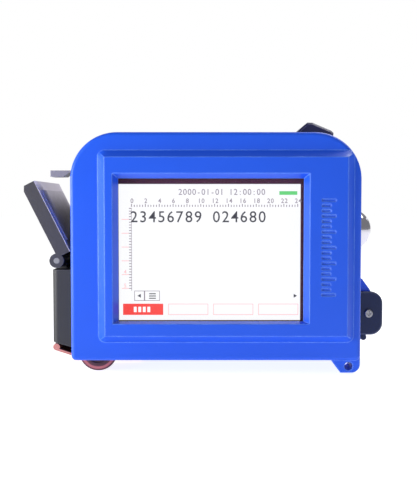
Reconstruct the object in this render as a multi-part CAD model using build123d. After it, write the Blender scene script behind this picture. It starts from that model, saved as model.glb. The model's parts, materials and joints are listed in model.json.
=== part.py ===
from build123d import *
import math
import os

# Handheld date-code inkjet printer. Millimetres. +X to the operator's right,
# +Y away from the operator, +Z up. The screen faces -Y. While modelling, X = 0
# is the middle of the casing, Y = 0 its front face and Z = 0 its underside.

# ---- casing ----
CASE_WIDTH = 111.6
CASE_HEIGHT = 87.8
FRONT_DEPTH = 28.0
WALL = 2.4
CORNER_RADIUS = 18.0
LOW_RADIUS = 1.8
EDGE_ROUND = 1.4
SPLIT_FROM_LEFT = 24.8
SEAL_WIDTH = 1.0
SEAL_HEIGHT = 1.0

# ---- raised frame around the screen ----
FRAME_RISE = 3.0
FRAME_BEVEL = 2.7
FRAME_LEFT = 10.7
FRAME_RIGHT = 2.9
FRAME_TOP = 6.9
FRAME_BOTTOM = 7.2
FRAME_RADIUS = 2.6

# ---- sunk scale beside the screen ----
MARK_PITCH = 2.0
MARK_COUNT = 19
MARK_LONG_EVERY = 3
MARK_WIDTH = 0.9
MARK_DEPTH = 0.4
MARK_LONG = 5.3
MARK_SHORT = 3.4
MARK_RISE = 1.7

# ---- screen stack ----
SCREEN_WIDTH = 70.1
SCREEN_HEIGHT = 52.6
SCREEN_X = -1.85
SCREEN_Z = 42.1
SCREEN_SETBACK = 1.2
WINDOW_MARGIN_SIDE = 0.5
WINDOW_MARGIN_TOP = 1.7
WINDOW_MARGIN_LOW = 0.6
WINDOW_SPLAY = 1.9
WINDOW_SPLAY_LOW = 0.5
PANEL_BORDER = 3.0
GASKET_THICK = 0.5
TOUCH_THICK = 1.1
LCD_THICK = 2.8
BRACKET_THICK = 0.8
SPACER_HEIGHT = 7.0
BOARD_THICK = 1.6

# ---- shell screws ----
COLUMN_RADIUS = 4.0
SCREW_RADIUS = 1.5
SCREW_HEAD_RADIUS = 2.8
SCREW_HEAD_HEIGHT = 2.2
SCREW_CLEARANCE = 0.08
SCREW_SEAT = 8.0

# ---- lanyard ear ----
EAR_WIDTH = 11.2
EAR_DROP = 4.9
EAR_LENGTH = 12.0
EAR_SETBACK = 1.5
EAR_SLOPE = 0.74
EAR_ROUND = 3.2
EAR_BORE_RADIUS = 1.6
EAR_BORE_DROP = 2.4
EAR_BORE_INSET = 4.4

# ---- rollers ----
ROLLER_RADIUS = 7.6
ROLLER_DROP = 5.7
TYRE_THICK = 2.0
AXLE_RADIUS = 1.1
AXLE_CLEARANCE = 0.05
ROLLER_GAP = 0.5
BEARING_RIB = 2.2
ENCODER_MARGIN = 1.6
ENCODER_START = 10.0
ENCODER_LENGTH = 12.0
REAR_ROLLER_ROOM = 0.4
REAR_ROLLER_LENGTH = 11.0
RIGHT_ROLLER_LENGTH = 45.0
MAGNET_RADIUS = 3.4
MAGNET_LENGTH = 2.5

# ---- power button ----
BUTTON_Y = 14.0
BUTTON_Z = 50.2
BUTTON_DOME = 8.3
BUTTON_HEIGHT = 5.8
BUTTON_BARREL = 6.0
BUTTON_NUT = 8.5
BUTTON_CAP = 5.2
BUTTON_DEPTH = 14.0
BUTTON_TRAVEL = 1.5
BUTTON_CLEARANCE = 0.2

# ---- trigger ----
TRIGGER_INSET = 11.5
TRIGGER_RISE = 4.7
TRIGGER_TILT = 22.8
TRIGGER_FRONT = 3.0
TRIGGER_LENGTH = 18.0
TRIGGER_LEFT = 8.5
TRIGGER_RIGHT = 6.0
TRIGGER_STEM = 12.6
TRIGGER_TRAVEL = 2.5
TRIGGER_CLEARANCE = 0.3

# ---- strap anchor ----
ANCHOR_WIDTH = 11.8
ANCHOR_HEIGHT = 18.1
ANCHOR_THICK = 2.2
ANCHOR_RADIUS = 5.0
ANCHOR_GAP = 2.2
ANCHOR_Z = 14.8
ANCHOR_LUG_DEPTH = 12.0
STRAP_PIN_RADIUS = 1.3
STRAP_PIN_LENGTH = 11.6

# ---- cartridge and its holder ----
HOLDER_WALL = 2.2
HOLDER_GAP = 0.5
CARTRIDGE_WIDTH = 24.5
CARTRIDGE_DEPTH = 56.5
CARTRIDGE_HEIGHT = 62.7
CARTRIDGE_CLEARANCE = 0.3
HINGE_BLOCK = 9.0
HINGE_BLOCK_TOP = 33.0
FLOOR_Z = 0.3
FLOOR_THICK = 2.7
HOLDER_SLOPE = 2.6
TAB_ROOM = 8.5
SNOUT_WIDTH = 18.0
SNOUT_DEPTH = 22.0
SNOUT_CLEARANCE = 1.0
NOZZLE_Z = -3.3
NOZZLE_THICK = 0.3
GUARD_Z = -3.6
GUARD_THICK = 0.8
GUARD_NOSE = 1.4

# ---- flap and its hinge ----
PIN_RADIUS = 1.2
PIN_CLEARANCE = 0.05
BARREL_RADIUS = 3.0
BARREL_GAP = 0.8
KNUCKLE = 10.0
KNUCKLE_GAP = 0.3
FLAP_OFFSET = 0.95
FLAP_THICK = 5.9
FLAP_TO_TAB = 1.2
FLAP_OPEN = 26.6
PAD_THICK = 0.6

# ---- release tab ----
TAB_STOP = 1.3
TAB_HEAD = 5.5
TAB_HEAD_THICK = 2.6
TAB_BAR_THICK = 0.9
TAB_WIDTH = 12.0
TAB_GAP = 0.2
TAB_TRAVEL = 3.0
SPRING_WIRE = 0.3

# ---- battery ----
BATTERY_WIDTH = 38.0
BATTERY_DEPTH = 19.0
BATTERY_HEIGHT = 65.0
BATTERY_X = 5.0
BATTERY_GAP = 0.3
BATTERY_RIB = 1.6
COVER_RIM = 5.4
COVER_THICK = 1.3

# ---- worked out from the values above ----
CASE_LEFT = -CASE_WIDTH / 2
CASE_RIGHT = CASE_WIDTH / 2
REAR_LEFT = CASE_LEFT + SPLIT_FROM_LEFT
INSIDE_RIGHT = CASE_RIGHT - WALL
INSIDE_TOP = CASE_HEIGHT - WALL
AXLE_Z = ROLLER_RADIUS - ROLLER_DROP
ROLLER_TOP = AXLE_Z + ROLLER_RADIUS
ENCODER_X = CASE_LEFT + ENCODER_MARGIN + ROLLER_RADIUS
HOLDER_RIGHT = REAR_LEFT
HOLDER_FRONT = FRONT_DEPTH + HOLDER_GAP
HOLDER_BACK = HOLDER_FRONT + CARTRIDGE_DEPTH + 2 * (HOLDER_WALL + CARTRIDGE_CLEARANCE)
DEPTH = HOLDER_BACK
CAVITY_RIGHT = HOLDER_RIGHT - WALL
CAVITY_LEFT = CAVITY_RIGHT - CARTRIDGE_WIDTH - 2 * CARTRIDGE_CLEARANCE
BLOCK_LEFT = CAVITY_LEFT - CARTRIDGE_CLEARANCE - HINGE_BLOCK
HINGE_X = CAVITY_LEFT - 2 * CARTRIDGE_CLEARANCE - FLAP_OFFSET - FLAP_THICK
HINGE_Z = HINGE_BLOCK_TOP + BARREL_GAP + BARREL_RADIUS
CAVITY_LOW = FLOOR_Z + FLOOR_THICK
CAVITY_HIGH = CAVITY_LOW + CARTRIDGE_CLEARANCE + CARTRIDGE_HEIGHT + TAB_ROOM
HOLDER_TOP = CAVITY_HIGH + HOLDER_WALL
FLAP_LENGTH = CAVITY_HIGH - TAB_GAP - TAB_HEAD_THICK - FLAP_TO_TAB - HINGE_Z


def block(x0, x1, y0, y1, z0, z1):
    """A box between two corners."""
    return Pos((x0 + x1) / 2, (y0 + y1) / 2, (z0 + z1) / 2) * Box(x1 - x0, y1 - y0, z1 - z0)


def rounded(x0, x1, z0, z1, top_left, top_right, low_right, low_left):
    """A rectangle seen from the front, with a radius for each corner."""
    face = Pos((x0 + x1) / 2, (z0 + z1) / 2) * Rectangle(x1 - x0, z1 - z0)
    corners = [(x0, z1, top_left), (x1, z1, top_right), (x1, z0, low_right), (x0, z0, low_left)]
    for x, z, radius in corners:
        if radius > 0:
            corner = face.vertices().sort_by_distance(Vector(x, z, 0))[0]
            face = fillet(corner, radius)
    return face


def slab(face, y0, y1):
    """A front-view outline given depth from y0 to y1."""
    return Pos(0, y1, 0) * extrude(Plane.XZ * face, amount=y1 - y0)


def outline(*points):
    """A front-view polygon through the given X, Z points."""
    return make_face(Polyline(*points, close=True))


def rod_y(x, z, radius, y0, y1):
    """A round bar along Y."""
    return Pos(x, (y0 + y1) / 2, z) * Rot(90, 0, 0) * Cylinder(radius, y1 - y0)


def rod_x(y, z, radius, x0, x1):
    """A round bar along X."""
    return Pos((x0 + x1) / 2, y, z) * Rot(0, 90, 0) * Cylinder(radius, x1 - x0)


def common(first, second):
    """The material that two shapes share."""
    return Part() + (first & second).solids()


def coil(radius, height, turns):
    """A compression spring standing on its origin along +Z."""
    path = Helix(pitch=(height - 2 * SPRING_WIRE) / turns, height=height - 2 * SPRING_WIRE, radius=radius)
    start = Plane(origin=path @ 0, z_dir=path % 0)
    return Pos(0, 0, SPRING_WIRE) * sweep(start * Circle(SPRING_WIRE), path=path)


def screw(radius, length, head_radius, head_height):
    """A cross-head screw: its head bears on Z = 0 and its shank runs down."""
    head = Pos(0, 0, head_height / 2) * Cylinder(head_radius, head_height)
    head = fillet(head.faces().sort_by(Axis.Z)[-1].edges(), head_height * 0.35)
    bar = Box(head_radius * 1.2, head_radius * 0.3, head_height)
    cross = Pos(0, 0, head_height) * (bar + Rot(0, 0, 90) * bar)
    return head - cross + Pos(0, 0, -length / 2) * Cylinder(radius, length)


def screw_from_back(x, z, seat, radius, length, head_radius, head_height):
    """A screw driven towards the operator, its head bearing at y = seat."""
    return Pos(x, seat, z) * Rot(-90, 0, 0) * screw(radius, length, head_radius, head_height)


# ---- where things stand ----
LEFT_COLUMN = REAR_LEFT + WALL + COLUMN_RADIUS + 2.6
RIGHT_COLUMN = INSIDE_RIGHT - COLUMN_RADIUS - 0.9
COLUMNS = [
    (LEFT_COLUMN, WALL + COLUMN_RADIUS + 0.9),
    (LEFT_COLUMN, INSIDE_TOP - COLUMN_RADIUS - 1.4),
    (RIGHT_COLUMN, WALL + COLUMN_RADIUS + 0.9),
    (RIGHT_COLUMN, BUTTON_Z + BUTTON_NUT + COLUMN_RADIUS + 2.3),
]
WINDOW_LEFT = SCREEN_X - SCREEN_WIDTH / 2 - WINDOW_MARGIN_SIDE
WINDOW_RIGHT = SCREEN_X + SCREEN_WIDTH / 2 + WINDOW_MARGIN_SIDE
WINDOW_LOW = SCREEN_Z - SCREEN_HEIGHT / 2 - WINDOW_MARGIN_LOW
WINDOW_TOP = SCREEN_Z + SCREEN_HEIGHT / 2 + WINDOW_MARGIN_TOP
PANEL = (
    WINDOW_LEFT - PANEL_BORDER,
    WINDOW_RIGHT + PANEL_BORDER,
    WINDOW_LOW - PANEL_BORDER,
    WINDOW_TOP + PANEL_BORDER,
)
TOUCH_Y = SCREEN_SETBACK + GASKET_THICK
LCD_Y = TOUCH_Y + TOUCH_THICK
BRACKET_Y = LCD_Y + LCD_THICK
SPACER_Y = BRACKET_Y + BRACKET_THICK
BOARD_Y = SPACER_Y + SPACER_HEIGHT
LUG_REACH = 3.4
LCD_POST_RISE = SCREEN_HEIGHT / 2 - 6.3
BOARD_HALF_WIDTH = 34.0
BOARD_HALF_HEIGHT = 24.0
BOARD_POST_INSET = 3.0
BOARD_POST_RISE = BOARD_HALF_HEIGHT - BOARD_POST_INSET
LCD_POSTS = [
    (x, z)
    for x in (PANEL[0] - LUG_REACH, PANEL[1] + LUG_REACH)
    for z in (SCREEN_Z - LCD_POST_RISE, SCREEN_Z + LCD_POST_RISE)
]
BOARD_POSTS = [
    (SCREEN_X + side * (BOARD_HALF_WIDTH - BOARD_POST_INSET), z)
    for side in (-1, 1)
    for z in (SCREEN_Z - BOARD_POST_RISE, SCREEN_Z + BOARD_POST_RISE)
]
POST_RADIUS = 2.2
SMALL_SCREW = 1.0
SMALL_HEAD = 1.9

TRIGGER_Y = FRONT_DEPTH + TRIGGER_FRONT
TRIGGER_AT = Pos(CASE_RIGHT - TRIGGER_INSET, 0, CASE_HEIGHT + TRIGGER_RISE) * Rot(0, TRIGGER_TILT, 0)
TRIGGER_LEDGE = 2.3
TRIGGER_FLANGE = 1.0
COLLAR_BOTTOM = -TRIGGER_STEM + TRIGGER_LEDGE + TRIGGER_CLEARANCE
COLLAR_HEIGHT = 3.5
LEG_THICK = 1.4
LEG_HALF = 5.0
SWITCH_TOP = -TRIGGER_STEM - 5.9
SWITCH_HEIGHT = 5.5

BUTTON_CENTRE = CASE_RIGHT + BUTTON_HEIGHT - BUTTON_DOME
BUTTON_BOTTOM = CASE_RIGHT - BUTTON_DEPTH
BUTTON_FLOOR = 1.5
BUTTON_CAP_BASE = CASE_RIGHT - BUTTON_TRAVEL - 2.3

ANCHOR_X = CASE_RIGHT + ANCHOR_GAP + ANCHOR_WIDTH / 2
ANCHOR_Y = FRONT_DEPTH + 1.0
LUG_Y = ANCHOR_Y + ANCHOR_THICK
STRAP_PIN_X = ANCHOR_X - 1.6
STRAP_PIN_Z = ANCHOR_Z - ANCHOR_HEIGHT / 2 - STRAP_PIN_RADIUS
PIN_TAB = 3.0
LUG_TOP = ANCHOR_Z + ANCHOR_HEIGHT / 2
LUG_LOW = ANCHOR_Z - ANCHOR_HEIGHT / 2 + 0.5
LUG_BACK = LUG_Y + ANCHOR_LUG_DEPTH
BRACKET_SCREWS = [(LUG_Y + ANCHOR_LUG_DEPTH / 2, z) for z in (ANCHOR_Z + 1.2, ANCHOR_Z + 10.2)]
BRACKET_SCREW_LENGTH = 6.4

PORT_Z = 44.2
PORT_SHELF = 1.2
USB_Y = 62.0
USB_WIDTH = 8.9
USB_HEIGHT = 3.2
JACK_Y = 76.0
JACK_SIZE = 9.0
JACK_RADIUS = 2.75
PORT_LENGTH = 11.0
PORT_CLEARANCE = 0.2

BATTERY_Y = DEPTH - COVER_THICK - BATTERY_GAP - BATTERY_DEPTH
BATTERY_Z = ROLLER_TOP + 0.6 + BATTERY_RIB + BATTERY_GAP
BATTERY_LEFT = BATTERY_X - BATTERY_WIDTH / 2
BATTERY_RIGHT = BATTERY_X + BATTERY_WIDTH / 2
BATTERY_TOP = BATTERY_Z + BATTERY_HEIGHT
COVER_SIDE = 2.0
COVER_SCREWS = [
    (BATTERY_X, BATTERY_Z - BATTERY_GAP - COVER_RIM / 2),
    (BATTERY_X, BATTERY_TOP + BATTERY_GAP + COVER_RIM / 2),
]

REAR_ROLLER_X = LEFT_COLUMN + COLUMN_RADIUS + REAR_ROLLER_ROOM + ROLLER_RADIUS
RIGHT_ROLLER_X = BATTERY_RIGHT + BATTERY_GAP + BATTERY_RIB + ROLLER_GAP + ROLLER_RADIUS

HINGE_AT = Pos(HINGE_X, 0, HINGE_Z)
MIDDLE_START = HOLDER_FRONT + KNUCKLE + KNUCKLE_GAP
MIDDLE_END = HOLDER_BACK - KNUCKLE - KNUCKLE_GAP
HOLDER_LEFT = CAVITY_LEFT - CARTRIDGE_CLEARANCE
CAVITY_FRONT = HOLDER_FRONT + HOLDER_WALL
CAVITY_BACK = HOLDER_BACK - HOLDER_WALL
CARTRIDGE_LEFT = CAVITY_LEFT + CARTRIDGE_CLEARANCE
CARTRIDGE_FRONT = CAVITY_FRONT + CARTRIDGE_CLEARANCE
SNOUT_LEFT = CARTRIDGE_LEFT + (CARTRIDGE_WIDTH - SNOUT_WIDTH) / 2
SNOUT_FRONT = CARTRIDGE_FRONT + 2.0
SNOUT_HOLE = (
    SNOUT_LEFT - SNOUT_CLEARANCE,
    SNOUT_LEFT + SNOUT_WIDTH + SNOUT_CLEARANCE,
    SNOUT_FRONT - SNOUT_CLEARANCE,
    SNOUT_FRONT + SNOUT_DEPTH + SNOUT_CLEARANCE,
)
HOLDER_SCREWS = [(y, z) for y in (HOLDER_FRONT + 8.0, HOLDER_BACK - 8.0) for z in (14.0, HOLDER_TOP - 10.7)]

TAB_LEFT = HOLDER_LEFT - TAB_STOP - TAB_TRAVEL - TAB_HEAD
TAB_TOP = CAVITY_HIGH - TAB_GAP
TAB_Y = CAVITY_FRONT + TAB_GAP
TAB_POST = CAVITY_LEFT + 10.5
TAB_POST_THICK = 3.0
TAB_SHELF = 1.2
TAB_SHELF_GAP = 0.3
TAB_SPRING_Z = TAB_TOP - TAB_HEAD_THICK


def case_outline(left, inset, left_radius):
    """The casing's front-view outline, from its left side at `left`, pulled in by `inset`."""
    low = max(LOW_RADIUS - inset, 0.4)
    return rounded(
        left + inset,
        CASE_RIGHT - inset,
        inset,
        CASE_HEIGHT - inset,
        max(left_radius - inset, 0.4),
        CORNER_RADIUS - inset,
        low,
        low,
    )


def front_outline(inset):
    return case_outline(CASE_LEFT, inset, CORNER_RADIUS)


def rear_outline(inset):
    return case_outline(REAR_LEFT, inset, LOW_RADIUS + WALL)


def roller_rib(x, y0, y1):
    """A rib that carries one end of a roller's axle."""
    return block(x - 4.0, x + 4.0, y0, y1, 0.0, AXLE_Z + 4.6)


def roller_slot(x, y0, y1):
    half = ROLLER_RADIUS + ROLLER_GAP + 0.1
    return block(x - half, x + half, y0 - ROLLER_GAP, y1 + ROLLER_GAP, -1.0, WALL)


def axle_bore(x, y0, y1):
    return rod_y(x, AXLE_Z, AXLE_RADIUS + 0.02, y0, y1)


def scale_marks():
    """The grooves of the scale between the window and the raised frame's right edge."""
    middle = (WINDOW_RIGHT + WINDOW_SPLAY + CASE_RIGHT - FRAME_RIGHT - FRAME_BEVEL) / 2
    left = middle - MARK_LONG / 2
    marks = Part()
    for step in range(MARK_COUNT):
        z = SCREEN_Z + MARK_RISE + (step - (MARK_COUNT - 1) / 2) * MARK_PITCH
        length = MARK_SHORT if step % MARK_LONG_EVERY else MARK_LONG
        low = z - MARK_WIDTH / 2
        marks += block(left, left + length, -FRAME_RISE - 1, -FRAME_RISE + MARK_DEPTH, low, low + MARK_WIDTH)
    return marks


def front_shell():
    shell = slab(front_outline(0), 0, FRONT_DEPTH)
    shell = fillet(shell.faces().sort_by(Axis.Y)[0].edges(), EDGE_ROUND)
    ear_left = CASE_RIGHT - EAR_WIDTH
    ear = outline(
        (ear_left, LOW_RADIUS),
        (ear_left, 0),
        (ear_left + EAR_DROP * EAR_SLOPE, -EAR_DROP),
        (CASE_RIGHT, -EAR_DROP),
        (CASE_RIGHT, LOW_RADIUS),
    )
    ear = fillet(ear.vertices().sort_by_distance(Vector(CASE_RIGHT, -EAR_DROP, 0))[0], EAR_ROUND)
    shell += slab(ear, EAR_SETBACK, EAR_SETBACK + EAR_LENGTH)
    frame = rounded(
        CASE_LEFT + FRAME_LEFT,
        CASE_RIGHT - FRAME_RIGHT,
        FRAME_BOTTOM,
        CASE_HEIGHT - FRAME_TOP,
        FRAME_RADIUS,
        FRAME_RADIUS,
        FRAME_RADIUS,
        FRAME_RADIUS,
    )
    taper = math.degrees(math.atan(FRAME_BEVEL / FRAME_RISE))
    shell += slab(frame, 0, WALL)
    shell += extrude(Plane.XZ * frame, amount=FRAME_RISE, taper=taper)

    bay_back = FRONT_DEPTH - WALL
    shell -= slab(front_outline(WALL), WALL, bay_back)
    shell -= slab(rear_outline(WALL), bay_back, FRONT_DEPTH)

    inner = rounded(WINDOW_LEFT, WINDOW_RIGHT, WINDOW_LOW, WINDOW_TOP, 0, 0, 0, 0)
    outer = rounded(
        WINDOW_LEFT - WINDOW_SPLAY,
        WINDOW_RIGHT + WINDOW_SPLAY,
        WINDOW_LOW - WINDOW_SPLAY_LOW,
        WINDOW_TOP + WINDOW_SPLAY,
        0,
        0,
        0,
        0,
    )
    mouth = Pos(0, -FRAME_RISE, 0) * (Plane.XZ * outer)
    shell -= loft([mouth, Pos(0, SCREEN_SETBACK, 0) * (Plane.XZ * inner)])
    shell -= scale_marks()
    gap = 0.3
    shell -= block(PANEL[0] - gap, PANEL[1] + gap, SCREEN_SETBACK, WALL, PANEL[2] - gap, PANEL[3] + gap)

    for x, z in COLUMNS:
        shell += rod_y(x, z, COLUMN_RADIUS, WALL, FRONT_DEPTH)
        shell -= rod_y(x, z, SCREW_RADIUS + SCREW_CLEARANCE, 2 * SCREW_SEAT, FRONT_DEPTH)
    for x, z in LCD_POSTS:
        shell += rod_y(x, z, POST_RADIUS, WALL, BRACKET_Y)
        shell -= rod_y(x, z, SMALL_SCREW + SCREW_CLEARANCE, WALL, BRACKET_Y)

    rib_end = ENCODER_START - ROLLER_GAP
    encoder_end = ENCODER_START + ENCODER_LENGTH
    shell += roller_rib(ENCODER_X, rib_end - BEARING_RIB, rib_end)
    shell -= roller_slot(ENCODER_X, ENCODER_START, bay_back - ROLLER_GAP)
    pocket = ENCODER_X - ROLLER_RADIUS - ROLLER_GAP
    shell -= block(pocket, CASE_LEFT + WALL + 1, rib_end, encoder_end + ROLLER_GAP, 0.5, 2 * ROLLER_RADIUS)
    shell -= axle_bore(ENCODER_X, rib_end - BEARING_RIB + 0.6, bay_back + WALL * 0.6)

    shell -= rod_x(BUTTON_Y, BUTTON_Z, BUTTON_BARREL + 0.1, INSIDE_RIGHT - 1, CASE_RIGHT + 1)
    shell -= rod_y(
        CASE_RIGHT - EAR_BORE_INSET, -EAR_BORE_DROP, EAR_BORE_RADIUS, 0, EAR_SETBACK + EAR_LENGTH + 1
    )
    return shell


def rear_shell():
    shell = slab(rear_outline(0), FRONT_DEPTH, DEPTH)
    shell = fillet(shell.faces().sort_by(Axis.Y)[-1].edges(), EDGE_ROUND)
    shell -= slab(rear_outline(WALL), FRONT_DEPTH, DEPTH - WALL)

    flange_end = TRIGGER_Y + TRIGGER_LENGTH + TRIGGER_FLANGE + TRIGGER_CLEARANCE
    flange_start = TRIGGER_Y - TRIGGER_FLANGE - TRIGGER_CLEARANCE
    collar = TRIGGER_AT * block(
        -TRIGGER_LEFT - 3.5,
        TRIGGER_RIGHT + 3.5,
        flange_start - LEG_THICK,
        flange_end + LEG_THICK,
        COLLAR_BOTTOM,
        COLLAR_BOTTOM + COLLAR_HEIGHT,
    )
    shell += common(collar, slab(rear_outline(1.0), FRONT_DEPTH, DEPTH))
    for y0 in (flange_start - LEG_THICK, flange_end):
        shell += TRIGGER_AT * block(
            -LEG_HALF, LEG_HALF, y0, y0 + LEG_THICK, SWITCH_TOP - SWITCH_HEIGHT, COLLAR_BOTTOM + 1
        )
    shell -= TRIGGER_AT * block(
        -TRIGGER_LEFT - TRIGGER_CLEARANCE,
        TRIGGER_RIGHT + TRIGGER_CLEARANCE,
        TRIGGER_Y - TRIGGER_CLEARANCE,
        TRIGGER_Y + TRIGGER_LENGTH + TRIGGER_CLEARANCE,
        -TRIGGER_STEM - TRIGGER_TRAVEL - TRIGGER_CLEARANCE,
        TRIGGER_RISE,
    )
    shell -= TRIGGER_AT * block(
        -TRIGGER_LEFT - TRIGGER_FLANGE - TRIGGER_CLEARANCE,
        TRIGGER_RIGHT + TRIGGER_FLANGE + TRIGGER_CLEARANCE,
        flange_start,
        flange_end,
        -TRIGGER_STEM - TRIGGER_TRAVEL - TRIGGER_CLEARANCE,
        COLLAR_BOTTOM,
    )

    for x, z in COLUMNS:
        seat = FRONT_DEPTH + SCREW_SEAT
        shell += rod_y(x, z, COLUMN_RADIUS, FRONT_DEPTH, DEPTH - WALL)
        shell -= rod_y(x, z, SCREW_RADIUS + SCREW_CLEARANCE, FRONT_DEPTH, seat)
        shell -= rod_y(x, z, SCREW_HEAD_RADIUS + 0.3, seat, DEPTH)

    groove = (WALL - SEAL_WIDTH) / 2
    ring = rear_outline(groove) - rear_outline(groove + SEAL_WIDTH)
    shell -= slab(ring, FRONT_DEPTH, FRONT_DEPTH + SEAL_HEIGHT)

    inner = (BATTERY_LEFT - BATTERY_GAP, BATTERY_RIGHT + BATTERY_GAP)
    low = BATTERY_Z - BATTERY_GAP
    high = BATTERY_TOP + BATTERY_GAP
    front = BATTERY_Y - BATTERY_GAP
    tray = block(
        inner[0] - BATTERY_RIB,
        inner[1] + BATTERY_RIB,
        front - BATTERY_RIB,
        DEPTH - WALL,
        low - BATTERY_RIB,
        high + BATTERY_RIB,
    )
    shell += tray
    for x, z in COVER_SCREWS:
        shell += rod_y(x, z, COVER_RIM / 2, DEPTH - 10.0, DEPTH - WALL)
    shell -= block(inner[0], inner[1], front, DEPTH, low, high)
    rim = 0.2
    shell -= block(
        inner[0] - COVER_SIDE - rim,
        inner[1] + COVER_SIDE + rim,
        DEPTH - COVER_THICK,
        DEPTH,
        low - COVER_RIM - rim,
        high + COVER_RIM + rim,
    )
    for x, z in COVER_SCREWS:
        shell -= rod_y(x, z, SMALL_SCREW + SCREW_CLEARANCE, DEPTH - 8.0, DEPTH)

    for x, length in ((REAR_ROLLER_X, REAR_ROLLER_LENGTH), (RIGHT_ROLLER_X, RIGHT_ROLLER_LENGTH)):
        end = DEPTH - WALL - ROLLER_GAP
        rib_end = end - length - ROLLER_GAP
        shell += roller_rib(x, rib_end - BEARING_RIB, rib_end)
        shell -= roller_slot(x, end - length, end)
        shell -= axle_bore(x, rib_end - BEARING_RIB + 0.6, DEPTH - WALL * 0.4)

    for y, z in BRACKET_SCREWS:
        shell -= rod_x(y, z, SMALL_SCREW + SCREW_CLEARANCE, INSIDE_RIGHT - 1, CASE_RIGHT + 1)

    for y, z in HOLDER_SCREWS:
        shell -= rod_x(y, z, SMALL_SCREW + SCREW_CLEARANCE, REAR_LEFT - 1, REAR_LEFT + WALL + 1)

    shelf_start = USB_Y - USB_WIDTH / 2 - 2.5
    shelf_end = JACK_Y + JACK_SIZE / 2 + 2.5
    board_low = PORT_Z - PORT_SHELF
    shelf_low = board_low - PORT_SHELF
    shell += block(INSIDE_RIGHT - 5, INSIDE_RIGHT + 1, shelf_start, shelf_end, shelf_low, board_low)
    shell -= Pos(CASE_RIGHT, USB_Y, PORT_Z + USB_HEIGHT / 2) * Box(
        3 * WALL, USB_WIDTH + 2 * PORT_CLEARANCE, USB_HEIGHT + 2 * PORT_CLEARANCE
    )
    shell -= rod_x(JACK_Y, PORT_Z + JACK_SIZE / 2, JACK_RADIUS + 0.6, INSIDE_RIGHT - 0.1, CASE_RIGHT + 1)
    return shell


def shell_seal():
    side = (WALL - SEAL_WIDTH) / 2
    slack = 0.03
    ring = rear_outline(side + slack) - rear_outline(side + SEAL_WIDTH - slack)
    return slab(ring, FRONT_DEPTH, FRONT_DEPTH + SEAL_HEIGHT)


def shell_screws():
    seat = FRONT_DEPTH + SCREW_SEAT
    return [
        screw_from_back(x, z, seat, SCREW_RADIUS, SCREW_SEAT + 11.0, SCREW_HEAD_RADIUS, SCREW_HEAD_HEIGHT)
        for x, z in COLUMNS
    ]


def screen_gasket():
    opening = rounded(WINDOW_LEFT, WINDOW_RIGHT, WINDOW_LOW, WINDOW_TOP, 0, 0, 0, 0)
    return slab(rounded(*PANEL, 1, 1, 1, 1) - opening, SCREEN_SETBACK, TOUCH_Y)


def touch_panel():
    return slab(rounded(*PANEL, 1, 1, 1, 1), TOUCH_Y, LCD_Y)


def lcd_module():
    inset = 0.8
    body = rounded(PANEL[0] + inset, PANEL[1] - inset, PANEL[2] + inset, PANEL[3] - inset, 0.5, 0.5, 0.5, 0.5)
    return slab(body, LCD_Y, BRACKET_Y)


def lcd_bracket():
    plate = rounded(*PANEL, 2, 2, 2, 2)
    for x, z in LCD_POSTS:
        inward = 4.0 if x < SCREEN_X else -4.0
        plate += Pos(x + inward / 2, z) * Rectangle(abs(inward) + 2 * POST_RADIUS, 2 * POST_RADIUS + 1)
    plate -= Pos(SCREEN_X, SCREEN_Z) * RectangleRounded(0.58 * SCREEN_WIDTH, 0.5 * SCREEN_HEIGHT, 3)
    for x, z in LCD_POSTS + BOARD_POSTS:
        plate -= Pos(x, z) * Circle(SMALL_SCREW + SCREW_CLEARANCE)
    return slab(plate, BRACKET_Y, SPACER_Y)


def lcd_screws():
    return [screw_from_back(x, z, SPACER_Y, SMALL_SCREW, 3.6, SMALL_HEAD, 1.2) for x, z in LCD_POSTS]


def board_spacers():
    tubes = []
    for x, z in BOARD_POSTS:
        tube = rod_y(x, z, POST_RADIUS, SPACER_Y, BOARD_Y)
        tubes.append(tube - rod_y(x, z, SMALL_SCREW + SCREW_CLEARANCE, SPACER_Y, BOARD_Y))
    return tubes


def main_board():
    back = BOARD_Y + BOARD_THICK
    plate = rounded(
        SCREEN_X - BOARD_HALF_WIDTH,
        SCREEN_X + BOARD_HALF_WIDTH,
        SCREEN_Z - BOARD_HALF_HEIGHT,
        SCREEN_Z + BOARD_HALF_HEIGHT,
        1.5,
        1.5,
        1.5,
        1.5,
    )
    board = slab(plate, BOARD_Y, back)
    for x, z in BOARD_POSTS:
        board -= rod_y(x, z, SMALL_SCREW + SCREW_CLEARANCE, BOARD_Y, back)
    chips = [(-12, 6, 14, 14, 1.4), (10, 8, 11, 8, 1.1), (-14, -13, 9, 9, 1.0), (12, -12, 22, 6, 4.5)]
    for dx, dz, width, height, thick in chips:
        x = SCREEN_X + dx
        z = SCREEN_Z + dz
        board += block(x - width / 2, x + width / 2, back, back + thick, z - height / 2, z + height / 2)
    return board


def board_screws():
    seat = BOARD_Y + BOARD_THICK
    return [screw_from_back(x, z, seat, SMALL_SCREW, 5.0, SMALL_HEAD, 1.2) for x, z in BOARD_POSTS]


def dome(radius, base):
    """A turned piece with the power button's domed end, `radius` wide, from x = base."""
    start = base - BUTTON_CENTRE
    side = min(radius, math.sqrt(BUTTON_DOME**2 - start**2))
    shoulder = math.sqrt(BUTTON_DOME**2 - side**2)
    half = math.asin(side / BUTTON_DOME) / 2
    middle = (BUTTON_DOME * math.cos(half), BUTTON_DOME * math.sin(half))
    points = [(start, side), (start, 0), (BUTTON_DOME, 0)]
    if shoulder > start + 0.01:
        points.insert(0, (shoulder, side))
    arc = ThreePointArc((BUTTON_DOME, 0), middle, (shoulder, side))
    turned = revolve(make_face(Polyline(*points) + arc), axis=Axis.X)
    return Pos(BUTTON_CENTRE, BUTTON_Y, BUTTON_Z) * turned


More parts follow.
